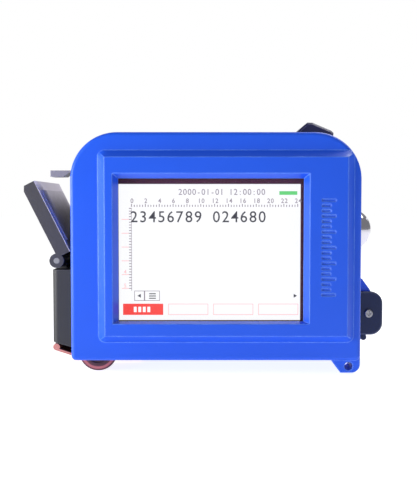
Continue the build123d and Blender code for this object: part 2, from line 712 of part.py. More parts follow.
def power_button_body():
    bore = BUTTON_CAP + BUTTON_CLEARANCE
    body = rod_x(BUTTON_Y, BUTTON_Z, BUTTON_BARREL, BUTTON_BOTTOM, CASE_RIGHT)
    body += dome(BUTTON_DOME, CASE_RIGHT)
    body -= rod_x(BUTTON_Y, BUTTON_Z, bore, BUTTON_BOTTOM + BUTTON_FLOOR, CASE_RIGHT + BUTTON_HEIGHT)
    return body


def power_button_cap():
    cap = dome(BUTTON_CAP, BUTTON_CAP_BASE)
    return cap + rod_x(BUTTON_Y, BUTTON_Z, 2.0, BUTTON_CAP_BASE - 6.0, BUTTON_CAP_BASE)


def power_button_nut():
    nut = Pos(INSIDE_RIGHT, BUTTON_Y, BUTTON_Z) * Rot(0, -90, 0) * extrude(RegularPolygon(BUTTON_NUT, 6), 2.6)
    return nut - rod_x(BUTTON_Y, BUTTON_Z, BUTTON_BARREL + 0.02, INSIDE_RIGHT - 5, INSIDE_RIGHT + 1)


def power_button_spring():
    start = BUTTON_BOTTOM + BUTTON_FLOOR
    length = BUTTON_CAP_BASE - start
    return Pos(start, BUTTON_Y, BUTTON_Z) * Rot(0, 90, 0) * coil(3.6, length, 5)


def trigger_button():
    left = -TRIGGER_LEFT
    right = TRIGGER_RIGHT
    profile = outline(
        (left, -TRIGGER_STEM),
        (left, -6.0),
        (left + 0.7, -3.9),
        (left + 2.3, -0.8),
        (left + 4.4, 0),
        (right - 1.9, 0),
        (right - 0.5, -0.5),
        (right, -2.0),
        (right, -TRIGGER_STEM),
    )
    button = slab(profile, TRIGGER_Y, TRIGGER_Y + TRIGGER_LENGTH)
    front = button.faces().sort_by(Axis.Y)[0].edges().filter_by(lambda e: e.center().Z > -5.0)
    button = chamfer(front, 0.8)
    button += block(
        left - TRIGGER_FLANGE,
        right + TRIGGER_FLANGE,
        TRIGGER_Y - TRIGGER_FLANGE,
        TRIGGER_Y + TRIGGER_LENGTH + TRIGGER_FLANGE,
        -TRIGGER_STEM,
        -TRIGGER_STEM + TRIGGER_LEDGE,
    )
    return TRIGGER_AT * button


def trigger_spring():
    middle = TRIGGER_Y + TRIGGER_LENGTH / 2
    return TRIGGER_AT * Pos(0, middle, SWITCH_TOP) * coil(3.4, -TRIGGER_STEM - SWITCH_TOP, 4)


def trigger_switch():
    middle = TRIGGER_Y + TRIGGER_LENGTH / 2
    half = TRIGGER_LENGTH / 2 + TRIGGER_FLANGE + TRIGGER_CLEARANCE
    body = block(-4.5, 4.5, middle - half, middle + half, SWITCH_TOP - SWITCH_HEIGHT, SWITCH_TOP)
    plunger = -TRIGGER_STEM - TRIGGER_TRAVEL - 0.2 - SWITCH_TOP
    body += Pos(0, middle, SWITCH_TOP + plunger / 2) * Cylinder(1.5, plunger)
    return TRIGGER_AT * body


def strap_bracket():
    """The block on the casing's right side that carries the anchor plate and the strap pin."""
    lug = outline(
        (CASE_RIGHT, LUG_TOP + 5.6),
        (ANCHOR_X - 2.4, LUG_TOP + 5.2),
        (ANCHOR_X + 0.6, LUG_TOP + 1.1),
        (ANCHOR_X + 3.4, LUG_TOP - 3.8),
        (ANCHOR_X + 3.4, LUG_LOW),
        (CASE_RIGHT, LUG_LOW),
    )
    bracket = slab(lug, LUG_Y, LUG_BACK)
    bracket += block(
        STRAP_PIN_X - 2.6, STRAP_PIN_X + 2.6, LUG_BACK - PIN_TAB, LUG_BACK, STRAP_PIN_Z - 2.2, LUG_LOW + 1
    )
    bracket -= rod_y(STRAP_PIN_X, STRAP_PIN_Z, STRAP_PIN_RADIUS, LUG_BACK - PIN_TAB, LUG_BACK - 0.4)
    bracket -= rod_y(ANCHOR_X, ANCHOR_Z, SMALL_SCREW + SCREW_CLEARANCE, LUG_Y, LUG_Y + 7.0)
    for y, z in BRACKET_SCREWS:
        bracket -= rod_x(y, z, SMALL_SCREW + SCREW_CLEARANCE, CASE_RIGHT, INSIDE_RIGHT + BRACKET_SCREW_LENGTH)
    return bracket


def bracket_screws():
    return [
        Pos(INSIDE_RIGHT, y, z) * Rot(0, -90, 0) * screw(SMALL_SCREW, BRACKET_SCREW_LENGTH, SMALL_HEAD, 1.2)
        for y, z in BRACKET_SCREWS
    ]


def anchor_plate():
    plate = rounded(
        ANCHOR_X - ANCHOR_WIDTH / 2,
        ANCHOR_X + ANCHOR_WIDTH / 2,
        ANCHOR_Z - ANCHOR_HEIGHT / 2,
        ANCHOR_Z + ANCHOR_HEIGHT / 2,
        1.5,
        ANCHOR_RADIUS,
        ANCHOR_RADIUS,
        1.5,
    )
    solid = slab(plate, ANCHOR_Y, LUG_Y)
    solid = chamfer(solid.faces().sort_by(Axis.Y)[0].edges(), 0.6)
    return solid - rod_y(ANCHOR_X, ANCHOR_Z, SMALL_SCREW + SCREW_CLEARANCE, ANCHOR_Y, LUG_Y)


def anchor_screw():
    return Pos(ANCHOR_X, ANCHOR_Y, ANCHOR_Z) * Rot(90, 0, 0) * screw(SMALL_SCREW, 8.0, 1.7, 1.1)


def strap_pin():
    end = LUG_BACK - 0.4
    pin = rod_y(STRAP_PIN_X, STRAP_PIN_Z, STRAP_PIN_RADIUS, end - STRAP_PIN_LENGTH, end)
    return chamfer(pin.faces().sort_by(Axis.Y)[0].edges(), 0.3)


def roller_tyre(x, y0, y1):
    tyre = rod_y(x, AXLE_Z, ROLLER_RADIUS, y0, y1)
    tyre = fillet(tyre.edges().filter_by(GeomType.CIRCLE), 0.8)
    return tyre - rod_y(x, AXLE_Z, ROLLER_RADIUS - TYRE_THICK, y0, y1)


def roller_hub(x, y0, y1):
    core = ROLLER_RADIUS - TYRE_THICK
    hub = rod_y(x, AXLE_Z, core, y0, y1)
    hub -= rod_y(x, AXLE_Z, core - 1.0, y0, y0 + 0.8) - rod_y(x, AXLE_Z, AXLE_RADIUS + 1.2, y0, y0 + 0.8)
    return hub - rod_y(x, AXLE_Z, AXLE_RADIUS + AXLE_CLEARANCE, y0, y1)


def encoder_magnet():
    start = ENCODER_START + ENCODER_LENGTH
    ring = rod_y(ENCODER_X, AXLE_Z, MAGNET_RADIUS, start, start + MAGNET_LENGTH)
    return ring - rod_y(ENCODER_X, AXLE_Z, AXLE_RADIUS + AXLE_CLEARANCE, start, start + MAGNET_LENGTH)


def encoder_sensor():
    low = AXLE_Z + MAGNET_RADIUS + 0.5
    back = FRONT_DEPTH - WALL
    start = ENCODER_START + ENCODER_LENGTH + ROLLER_GAP
    return block(ENCODER_X - 4, ENCODER_X + 4, start, back, low, low + 2.6)


def cartridge_holder():
    profile = outline(
        (BLOCK_LEFT, FLOOR_Z + HOLDER_SLOPE),
        (CAVITY_LEFT, FLOOR_Z),
        (HOLDER_RIGHT, FLOOR_Z),
        (HOLDER_RIGHT, HOLDER_TOP),
        (HOLDER_LEFT, HOLDER_TOP),
        (HOLDER_LEFT, HINGE_BLOCK_TOP),
        (BLOCK_LEFT, HINGE_BLOCK_TOP),
    )
    holder = slab(profile, HOLDER_FRONT, HOLDER_BACK)
    holder = fillet(holder.edges().filter_by(Axis.Z).sort_by(Axis.X)[:2], 2.2)
    holder -= block(CAVITY_LEFT, CAVITY_RIGHT, CAVITY_FRONT, CAVITY_BACK, CAVITY_LOW, CAVITY_HIGH)
    holder -= block(
        HOLDER_LEFT - 1, CAVITY_LEFT, CAVITY_FRONT, CAVITY_BACK, HINGE_BLOCK_TOP, CAVITY_HIGH
    )
    holder -= block(*SNOUT_HOLE, FLOOR_Z, CAVITY_LOW)

    shelf_end = TAB_POST - TAB_SHELF_GAP
    shelf_top = TAB_TOP - TAB_BAR_THICK - TAB_GAP
    shelf_left = CAVITY_LEFT + 2.0
    rail = TAB_Y + TAB_WIDTH + TAB_GAP
    holder += block(shelf_left, shelf_end, CAVITY_FRONT, rail + TAB_SHELF, shelf_top - TAB_SHELF, shelf_top)
    holder += block(shelf_left, shelf_end, rail, rail + TAB_SHELF, shelf_top, CAVITY_HIGH)

    foot_right = HINGE_X + BARREL_RADIUS * 0.85
    foot_low = HINGE_BLOCK_TOP - 0.1
    holder += block(BLOCK_LEFT + 0.1, foot_right, MIDDLE_START, MIDDLE_END, foot_low, HINGE_Z)
    holder += rod_y(HINGE_X, HINGE_Z, BARREL_RADIUS, MIDDLE_START, MIDDLE_END)
    holder -= rod_y(HINGE_X, HINGE_Z, PIN_RADIUS + 0.02, MIDDLE_START, MIDDLE_END)
    for y, z in HOLDER_SCREWS:
        holder -= rod_x(y, z, SMALL_SCREW + SCREW_CLEARANCE, CAVITY_RIGHT, HOLDER_RIGHT)
    return holder


def holder_screws():
    seat = REAR_LEFT + WALL
    length = 2 * WALL - 0.4
    return [
        Pos(seat, y, z) * Rot(0, 90, 0) * screw(SMALL_SCREW, length, SMALL_HEAD, 1.2)
        for y, z in HOLDER_SCREWS
    ]


def ink_cartridge():
    body = block(
        CARTRIDGE_LEFT,
        CARTRIDGE_LEFT + CARTRIDGE_WIDTH,
        CARTRIDGE_FRONT,
        CARTRIDGE_FRONT + CARTRIDGE_DEPTH,
        CAVITY_LOW + CARTRIDGE_CLEARANCE,
        CAVITY_LOW + CARTRIDGE_CLEARANCE + CARTRIDGE_HEIGHT,
    )
    body = fillet(body.edges().filter_by(Axis.Y), 1.4)
    snout = block(
        SNOUT_LEFT,
        SNOUT_LEFT + SNOUT_WIDTH,
        SNOUT_FRONT,
        SNOUT_FRONT + SNOUT_DEPTH,
        NOZZLE_Z + NOZZLE_THICK,
        CAVITY_LOW + CARTRIDGE_CLEARANCE + 1.5,
    )
    return body + snout


def nozzle_plate():
    inset = 2.0
    return block(
        SNOUT_LEFT + inset,
        SNOUT_LEFT + SNOUT_WIDTH - inset,
        SNOUT_FRONT + inset,
        SNOUT_FRONT + SNOUT_DEPTH - inset,
        NOZZLE_Z,
        NOZZLE_Z + NOZZLE_THICK,
    )


def contact_block():
    start = SNOUT_HOLE[3] + 0.5
    return block(SNOUT_LEFT + 2, SNOUT_LEFT + SNOUT_WIDTH - 2, start, start + 5.0, FLOOR_Z - 2.5, FLOOR_Z)


def contact_pins():
    snout_back = SNOUT_FRONT + SNOUT_DEPTH
    start = SNOUT_HOLE[3] + 0.5
    pins = []
    for row in range(2):
        for column in range(6):
            x = SNOUT_LEFT + SNOUT_WIDTH / 2 + (column - 2.5) * 2.2
            z = FLOOR_Z - 0.7 - row * 1.1
            pins.append(rod_y(x, z, 0.35, snout_back, start))
    return pins


def nozzle_guard():
    nose_x = BLOCK_LEFT + GUARD_NOSE + 0.1
    nose_z = FLOOR_Z + HOLDER_SLOPE - 0.75 - GUARD_NOSE
    flat = GUARD_Z + GUARD_THICK
    right = HOLDER_RIGHT - 0.2
    bend = CAVITY_LEFT + 1.0
    sheet = outline(
        (nose_x - 0.3, nose_z - GUARD_NOSE),
        (bend, GUARD_Z),
        (right, GUARD_Z),
        (right, flat),
        (bend + 0.2, flat),
        (nose_x + 0.4, nose_z - GUARD_NOSE + 0.9),
    )
    start = HOLDER_FRONT + 0.1
    end = HOLDER_BACK - 0.1
    guard = slab(sheet, start, end) + rod_y(nose_x, nose_z, GUARD_NOSE, start, end)
    for y0 in (start, end - GUARD_THICK):
        guard += block(bend + 0.2, right, y0, y0 + GUARD_THICK, GUARD_Z, FLOOR_Z)
    return guard - block(*SNOUT_HOLE, GUARD_Z - 1, FLOOR_Z)


def swing(piece):
    """Turns a piece of the closed flap to where the flap stands open."""
    return HINGE_AT * Rot(0, -FLAP_OPEN, 0) * piece


def latch_flap():
    inner = FLAP_OFFSET + FLAP_THICK
    profile = outline(
        (FLAP_OFFSET, 1.0),
        (FLAP_OFFSET, FLAP_LENGTH - 2.1),
        (FLAP_OFFSET + 1.1, FLAP_LENGTH),
        (inner, FLAP_LENGTH),
        (inner, 1.0),
    )
    flap = slab(profile, HOLDER_FRONT, HOLDER_BACK)
    flap -= rod_y(0, 0, BARREL_RADIUS + 0.4, MIDDLE_START - KNUCKLE_GAP, MIDDLE_END + KNUCKLE_GAP)
    for y0, y1 in ((HOLDER_FRONT, HOLDER_FRONT + KNUCKLE), (HOLDER_BACK - KNUCKLE, HOLDER_BACK)):
        flap += rod_y(0, 0, BARREL_RADIUS, y0, y1)
        flap -= rod_y(0, 0, PIN_RADIUS + PIN_CLEARANCE, y0, y1)
    return swing(flap)


def flap_pad():
    inner = FLAP_OFFSET + FLAP_THICK
    pad = block(inner, inner + PAD_THICK, CAVITY_FRONT + 2, CAVITY_BACK - 2, 6.0, FLAP_LENGTH - 4.5)
    return swing(pad)


def hinge_pin():
    return rod_y(HINGE_X, HINGE_Z, PIN_RADIUS, HOLDER_FRONT, HOLDER_BACK)


def release_tab():
    head = TAB_LEFT + TAB_HEAD
    bar_low = TAB_TOP - TAB_BAR_THICK
    head_low = TAB_TOP - TAB_HEAD_THICK
    profile = outline(
        (TAB_LEFT, head_low),
        (TAB_LEFT, TAB_TOP),
        (TAB_POST + TAB_POST_THICK, TAB_TOP),
        (TAB_POST + TAB_POST_THICK, head_low - 1.6),
        (TAB_POST, head_low - 1.6),
        (TAB_POST, bar_low),
        (head + 2.4, bar_low),
        (head, head_low),
    )
    return slab(profile, TAB_Y, TAB_Y + TAB_WIDTH)


def release_spring():
    start = TAB_POST + TAB_POST_THICK
    middle = TAB_Y + TAB_WIDTH / 2
    return Pos(start, middle, TAB_SPRING_Z) * Rot(0, 90, 0) * coil(1.2, CAVITY_RIGHT - start, 7)


def battery_pack():
    pack = block(
        BATTERY_LEFT, BATTERY_RIGHT, BATTERY_Y, BATTERY_Y + BATTERY_DEPTH, BATTERY_Z, BATTERY_TOP
    )
    return fillet(pack.edges().filter_by(Axis.Z), 6.0)


def battery_cover():
    low = BATTERY_Z - BATTERY_GAP - COVER_RIM
    high = BATTERY_TOP + BATTERY_GAP + COVER_RIM
    plate = rounded(
        BATTERY_LEFT - BATTERY_GAP - COVER_SIDE,
        BATTERY_RIGHT + BATTERY_GAP + COVER_SIDE,
        low,
        high,
        0.6,
        0.6,
        0.6,
        0.6,
    )
    cover = slab(plate, DEPTH - COVER_THICK, DEPTH)
    for x, z in COVER_SCREWS:
        cover -= rod_y(x, z, SMALL_SCREW + SCREW_CLEARANCE, DEPTH - COVER_THICK, DEPTH)
    return cover


def cover_screws():
    return [screw_from_back(x, z, DEPTH, SMALL_SCREW, 7.0, SMALL_HEAD, 1.1) for x, z in COVER_SCREWS]


def port_board():
    back = JACK_Y + JACK_SIZE / 2 + 2.0
    front = USB_Y - USB_WIDTH / 2 - 2
    return block(INSIDE_RIGHT - 16, INSIDE_RIGHT - 0.2, front, back, PORT_Z - PORT_SHELF, PORT_Z)


def usb_socket():
    middle = PORT_Z + USB_HEIGHT / 2
    mouth = CASE_RIGHT - 0.3
    body = Pos(mouth - PORT_LENGTH / 2, USB_Y, middle) * Box(PORT_LENGTH, USB_WIDTH, USB_HEIGHT)
    body = fillet(body.edges().filter_by(Axis.X), USB_HEIGHT * 0.4)
    bore = Pos(mouth - 4.0, USB_Y, middle) * Box(8.0, USB_WIDTH - 0.7, USB_HEIGHT - 0.7)
    bore = fillet(bore.edges().filter_by(Axis.X), USB_HEIGHT * 0.3)
    tongue = Pos(mouth - 4.7, USB_Y, middle) * Box(7.0, USB_WIDTH - 2.3, 0.7)
    return body - bore + tongue


def power_socket():
    middle = PORT_Z + JACK_SIZE / 2
    face = INSIDE_RIGHT - 0.2
    body = Pos(face - PORT_LENGTH / 2, JACK_Y, middle) * Box(PORT_LENGTH, JACK_SIZE, JACK_SIZE)
    body -= rod_x(JACK_Y, middle, JACK_RADIUS, face - 9.0, face)
    return body + rod_x(JACK_Y, middle, 1.0, face - 9.5, face - 1.0)


def rollers():
    """The encoder roller at the front left, and the two idle rollers at the back."""
    rear_end = DEPTH - WALL - ROLLER_GAP
    spans = {
        "encoder": (ENCODER_X, ENCODER_START, ENCODER_START + ENCODER_LENGTH, FRONT_DEPTH - WALL),
        "rear_roller": (REAR_ROLLER_X, rear_end - REAR_ROLLER_LENGTH, rear_end, DEPTH - WALL),
        "right_roller": (RIGHT_ROLLER_X, rear_end - RIGHT_ROLLER_LENGTH, rear_end, DEPTH - WALL),
    }
    made = {}
    for name, (x, y0, y1, wall) in spans.items():
        made[name + "_tyre"] = roller_tyre(x, y0, y1)
        made[name + "_hub"] = roller_hub(x, y0, y1)
        axle_start = y0 - ROLLER_GAP - BEARING_RIB + 0.6
        made[name + "_axle"] = rod_y(x, AXLE_Z, AXLE_RADIUS, axle_start, wall + WALL * 0.6)
    return made


def build():
    """Every sub-part by name, each a shape or a list of shapes."""
    makers = [
        front_shell,
        rear_shell,
        shell_seal,
        shell_screws,
        screen_gasket,
        touch_panel,
        lcd_module,
        lcd_bracket,
        lcd_screws,
        board_spacers,
        main_board,
        board_screws,
        power_button_body,
        power_button_cap,
        power_button_nut,
        power_button_spring,
        trigger_button,
        trigger_spring,
        trigger_switch,
        strap_bracket,
        bracket_screws,
        anchor_plate,
        anchor_screw,
        strap_pin,
        encoder_magnet,
        encoder_sensor,
        cartridge_holder,
        holder_screws,
        ink_cartridge,
        nozzle_plate,
        contact_block,
        contact_pins,
        nozzle_guard,
        latch_flap,
        flap_pad,
        hinge_pin,
        release_tab,
        release_spring,
        battery_pack,
        battery_cover,
        cover_screws,
        port_board,
        usb_socket,
        power_socket,
    ]
    parts = {maker.__name__: maker() for maker in makers}
    parts.update(rollers())
    return parts


def as_compound(shape):
    """One compound of all the solids of a sub-part."""
    pieces = shape if isinstance(shape, list) else [shape]
    solids = [solid for piece in pieces for solid in piece.solids()]
    return Compound(children=solids) if len(solids) > 1 else solids[0]


PARTS = {name: as_compound(shape) for name, shape in build().items()}

# The stored origin is the middle of the object's footprint, on the surface it stands on.
BOUNDS = Compound(children=[Compound(list(part.solids())) for part in PARTS.values()]).bounding_box()
ORIGIN = (BOUNDS.center().X, BOUNDS.center().Y, BOUNDS.min.Z)

if __name__ == "__main__":
    os.makedirs("parts", exist_ok=True)
    for name, part in PARTS.items():
        moved = Pos(-ORIGIN[0], -ORIGIN[1], -ORIGIN[2]) * part
        export_step(moved, f"parts/{name}.step")
    print("origin", [round(value, 4) for value in ORIGIN], "parts", len(PARTS))
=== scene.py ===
"""Looks of a handheld date-code inkjet printer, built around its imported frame. Metres, +Z up."""

import json
import math

import bmesh
import bpy
from mathutils import Matrix, Vector


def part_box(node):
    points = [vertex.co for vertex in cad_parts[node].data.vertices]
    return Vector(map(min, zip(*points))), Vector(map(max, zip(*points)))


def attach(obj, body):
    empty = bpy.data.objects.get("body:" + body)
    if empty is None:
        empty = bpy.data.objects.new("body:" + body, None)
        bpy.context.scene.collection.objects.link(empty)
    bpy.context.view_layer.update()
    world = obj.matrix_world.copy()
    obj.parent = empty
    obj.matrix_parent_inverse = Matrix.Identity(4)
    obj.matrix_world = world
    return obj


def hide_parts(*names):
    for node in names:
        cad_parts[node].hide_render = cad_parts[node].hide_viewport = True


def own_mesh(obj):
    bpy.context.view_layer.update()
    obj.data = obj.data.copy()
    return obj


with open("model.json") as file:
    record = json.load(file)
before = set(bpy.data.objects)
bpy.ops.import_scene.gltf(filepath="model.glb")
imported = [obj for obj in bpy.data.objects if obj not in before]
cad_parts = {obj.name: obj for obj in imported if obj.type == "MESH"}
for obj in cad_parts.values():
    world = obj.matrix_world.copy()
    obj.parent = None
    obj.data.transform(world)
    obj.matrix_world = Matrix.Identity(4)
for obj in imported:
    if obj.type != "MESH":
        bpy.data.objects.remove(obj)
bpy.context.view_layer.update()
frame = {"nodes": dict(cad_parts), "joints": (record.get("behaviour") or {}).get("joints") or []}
nodes = frame["nodes"]
MM = 0.001

# ---- sizes that the looks need, in millimetres unless said otherwise ----
SCREEN_WIDTH = 70.1
SCREEN_HEIGHT = 52.6
SCREEN_DROP = 0.9
SCREEN_LEFTWARD = 0.55
DOTS_ACROSS = 320
INK_LIFT = 0.06
INK_THICK = 0.04
KEY_MARK_LIFT = 0.05
FLAP_OPEN_DEGREES = 26.6
FLAP_FACE = 6.85
FLAP_FACE_MARGIN = 0.25
# Radii of the painted highlight ring on each tyre.
HIGHLIGHT_RING_FROM = 5.9
HIGHLIGHT_RING_TO = 6.9
RIB_COUNT = 6
RIB_START = 14.0
RIB_PITCH = 2.2
RIB_WIDTH = 1.0
RIB_LENGTH = 18.0
RIB_HEIGHT = 0.5
RIB_ROOT = 0.2
RIB_ROUND = 0.25
LABEL_PROUD = 0.08
LABEL_ROOT = 0.02
LABEL_STRIPE = 4.0
LABEL_DEPTH_SHARES = (0.25, 0.75)
LABEL_HEIGHT_SHARES = (0.58, 0.84)
LABEL_STRIPE_SHARE = 0.62
FLOOR_REACH_METRES = 4.0
CAMERA_TILT_DEGREES = 3.0


# ------------------------------------------------------------------ shader maths
class Wire:
    """A socket in a material, which takes part in sums as a number does."""

    def __init__(self, finish, socket):
        self.finish = finish
        self.socket = socket

    def math(self, operation, *values):
        return self.finish.node("ShaderNodeMath", {"operation": operation}, dict(enumerate(values)))

    def __add__(self, other):
        return self.math("ADD", self, other)

    def __radd__(self, other):
        return self.math("ADD", other, self)

    def __sub__(self, other):
        return self.math("SUBTRACT", self, other)

    def __rsub__(self, other):
        return self.math("SUBTRACT", other, self)

    def __mul__(self, other):
        return self.math("MULTIPLY", self, other)

    def __rmul__(self, other):
        return self.math("MULTIPLY", other, self)

    def __truediv__(self, other):
        return self.math("DIVIDE", self, other)

    def __pow__(self, other):
        return self.math("POWER", self, other)

    def __abs__(self):
        return self.math("ABSOLUTE", self)

    def above(self, edge, blur):
        """0 below `edge`, 1 above it, changing over `blur`."""
        share = (self - (edge - blur / 2)) / blur
        share.socket.node.use_clamp = True
        return share


class Finish:
    """A material that is being made, around one Principled shader."""

    def __init__(self, name, **constants):
        self.material = bpy.data.materials.new(name)
        self.material.use_nodes = True
        self.tree = self.material.node_tree
        self.shader = self.tree.nodes["Principled BSDF"]
        self.set(**constants)

    def set(self, **values):
        """Sets the shader's own sockets: base_color stands for Base Color, and so on."""
        for name, value in values.items():
            words = name.replace("_", " ").title().replace("Ior", "IOR")
            self.plug(self.shader.inputs[words], value)

    def plug(self, socket, value):
        if isinstance(value, Wire):
            self.tree.links.new(value.socket, socket)
        elif socket.type == "RGBA":
            socket.default_value = (*value[:3], 1.0)
        else:
            socket.default_value = value

    def node(self, kind, settings, inputs, output=0):
        """Adds a node: its settings first, then its inputs by name or number."""
        made = self.tree.nodes.new(kind)
        for name, value in settings.items():
            setattr(made, name, value)
        for name, value in inputs.items():
            self.plug(made.inputs[name], value)
        return Wire(self, made.outputs[output])

    def place(self):
        """The point on the piece, in metres."""
        return self.node("ShaderNodeTexCoord", {}, {}, "Object")

    def axes(self):
        """The point's X, Y and Z."""
        split = self.node("ShaderNodeSeparateXYZ", {}, {0: self.place()})
        return [Wire(self, split.socket.node.outputs[i]) for i in range(3)]

    def noise(self, scale, detail=2.0, stretch=(1, 1, 1)):
        spot = self.node("ShaderNodeMapping", {}, {"Vector": self.place(), "Scale": stretch})
        return self.node("ShaderNodeTexNoise", {}, {"Vector": spot, "Scale": scale, "Detail": detail})

    def blend(self, share, first, second):
        """From the first colour to the second as share goes from 0 to 1."""
        return self.node("ShaderNodeMix", {"data_type": "RGBA"}, {0: share, 6: first, 7: second}, 2)

    def bump(self, height, distance, strength=0.6, normal=None):
        inputs = {"Height": height, "Distance": distance, "Strength": strength}
        if normal is not None:
            inputs["Normal"] = normal
        self.set(normal=self.node("ShaderNodeBump", {}, inputs))

    def soft_edges(self, radius):
        """The surface's direction with its sharp edges rounded over `radius`."""
        return self.node("ShaderNodeBevel", {"samples": 4}, {"Radius": radius})

    def edge_share(self, rounded):
        """How near the point is to a sharp edge, from 0 to 1."""
        flat = self.node("ShaderNodeNewGeometry", {}, {}, "Normal")
        both = {0: rounded, 1: flat}
        alike = self.node("ShaderNodeVectorMath", {"operation": "DOT_PRODUCT"}, both, "Value")
        return (1 - alike).above(0.03, 0.05)


def moulded(
    name,
    colour,
    rough,
    edge_wear_and_highlight,
    grain=2200,
    coat=0.0,
    mottle=0.12,
    depth=0.00003,
    seam=None,
    gloss=0.5,
    radius=0.35,
):
    """Moulded plastic: faint flow marks, a fine grain, and edges painted lighter, partly as rubbed wear
    and partly as a painted highlight along the bevels.
    """
    finish = Finish(name, coat_weight=coat, coat_roughness=0.25, specular_ior_level=gloss)
    flow = finish.noise(26, 3, (1, 1, 2.2))
    dark = [c * (1 - mottle) for c in colour]
    light = [min(c * (1 + mottle), 1.0) for c in colour]
    tone = finish.blend(flow, dark, light)
    rounded = finish.soft_edges(radius * MM)
    patchy = finish.noise(160, 4).above(0.50, 0.3) * 0.45 + 0.45
    # Painted highlight: sharp edges are blended towards a lighter colour, standing in for the light caught
    # along the bevels as well as for wear.
    tone = finish.blend(finish.edge_share(rounded) * patchy, tone, edge_wear_and_highlight)
    if seam is not None:
        depth_along = finish.axes()[1]
        line = 1 - abs(depth_along - seam).above(0.16 * MM, 0.12 * MM)
        tone = finish.blend(line * 0.8, tone, [c * 0.16 for c in colour])
    finish.set(base_color=tone)
    smudge = finish.noise(55, 3)
    finish.set(roughness=smudge * 0.14 + (rough - 0.07))
    finish.bump(finish.noise(grain, 2), depth, 0.5, rounded)
    return finish.material


def flap_plastic():
    """The flap: dark outside and at its ends, with a painted sheen making the face that closes on the
    cartridge paler.
    """
    low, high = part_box("hinge_pin")
    tilt = math.radians(FLAP_OPEN_DEGREES)
    finish = Finish("flap_grey", specular_ior_level=0.4)
    across, _, up = finish.axes()
    middle = (low + high) / 2
    inward = (across - middle.x) * math.cos(tilt) + (up - middle.z) * math.sin(tilt)
    # Painted reflection: this mask picks out the inner face, which is painted pale to stand in for the
    # sheen it catches.
    painted_sheen_face = inward.above((FLAP_FACE - FLAP_FACE_MARGIN) * MM, 0.2 * MM)
    flow = finish.noise(30, 3)
    dark = finish.blend(flow, (0.040, 0.038, 0.046), (0.054, 0.052, 0.062))
    # Painted sheen colour for the inner face.
    pale = finish.blend(flow, (0.58, 0.54, 0.64), (0.66, 0.62, 0.72))
    rounded = finish.soft_edges(0.35 * MM)
    rubbed = finish.edge_share(rounded) * finish.noise(160, 4).above(0.5, 0.16) * 0.5
    finish.set(base_color=finish.blend(rubbed, finish.blend(painted_sheen_face, dark, pale), (0.26, 0.26, 0.28)))
    finish.set(roughness=finish.noise(55, 3) * 0.14 + 0.40)
    finish.bump(finish.noise(1300, 2), 0.00005, 0.5, rounded)
    return finish.material


def turned_metal(name, colour, rough, lines=900, spread=(1, 1, 1)):
    """Machined or rolled metal: fine tool lines and a few dull spots."""
    finish = Finish(name, metallic=1.0)
    brushed = finish.noise(lines, 2, spread)
    dull = finish.noise(90, 3).above(0.6, 0.2)
    finish.set(base_color=finish.blend(dull * 0.35, colour, [c * 0.55 for c in colour]))
    finish.set(roughness=brushed * 0.16 + dull * 0.12 + rough)
    finish.bump(brushed, 0.00001, 0.35, finish.soft_edges(0.15 * MM))
    return finish.material


def rubber(name, colour, highlight_ring=None, axis=None):
    """Moulded rubber with dust in its grain, and on a roller a painted highlight ring round its end."""
    finish = Finish(name, specular_ior_level=0.35)
    dust = finish.noise(420, 4).above(0.58, 0.2)
    tone = finish.blend(dust * 0.3, colour, [c * 1.5 + 0.03 for c in colour])
    if highlight_ring:
        across, _, up = finish.axes()
        reach = ((across - axis[0]) ** 2 + (up - axis[1]) ** 2) ** 0.5
        blur = 0.3 * MM
        # Painted highlight: a pinkish ring at a set distance from the axle stands in for the light caught
        # by the rounded tyre.
        highlight_band = reach.above(HIGHLIGHT_RING_FROM * MM, blur) * (1 - reach.above(HIGHLIGHT_RING_TO * MM, blur))
        tone = finish.blend(highlight_band, tone, highlight_ring)
    finish.set(base_color=tone, roughness=dust * 0.15 + 0.62)
    finish.bump(finish.noise(1500, 3), 0.00004, 0.5)
    return finish.material


def flat_ink(name, colour, glow):
    """A colour on the lit display, with the faint unevenness of its back light."""
    finish = Finish(name, emission_strength=glow, roughness=0.6)
    uneven = finish.noise(30, 2)
    paler = [min(1.0, c * 1.06 + 0.01) for c in colour]
    finish.set(base_color=[c * 0.1 for c in colour], emission_color=finish.blend(uneven, colour, paler))
    return finish.material


# ------------------------------------------------------------------ pieces
def keep_piece(name, mesh_or_bm, material):
    """Makes a finished piece at the origin and lets it ride on the housing."""
    mesh = mesh_or_bm
    if isinstance(mesh_or_bm, bmesh.types.BMesh):
        mesh = bpy.data.meshes.new(name)
        mesh_or_bm.to_mesh(mesh)
        mesh_or_bm.free()
    piece = bpy.data.objects.new(name, mesh)
    bpy.context.scene.collection.objects.link(piece)
    mesh.materials.clear()
    mesh.materials.append(material)
    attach(piece, "housing")
    return piece


def brick(bm, low, high, round_by=0.0):
    """A box between two corners, with its edges rounded."""
    low = Vector(low)
    high = Vector(high)
    made = bmesh.ops.create_cube(bm, size=1.0)["verts"]
    size = high - low
    bmesh.ops.scale(bm, vec=size, verts=made)
    bmesh.ops.translate(bm, vec=(low + high) / 2, verts=made)
    if round_by:
        edges = list({edge for vert in made for edge in vert.link_edges})
        bmesh.ops.bevel(
            bm,
            geom=edges,
            offset=round_by,
            segments=2,
            profile=0.5,
            affect="EDGES",
            material=-1,
        )


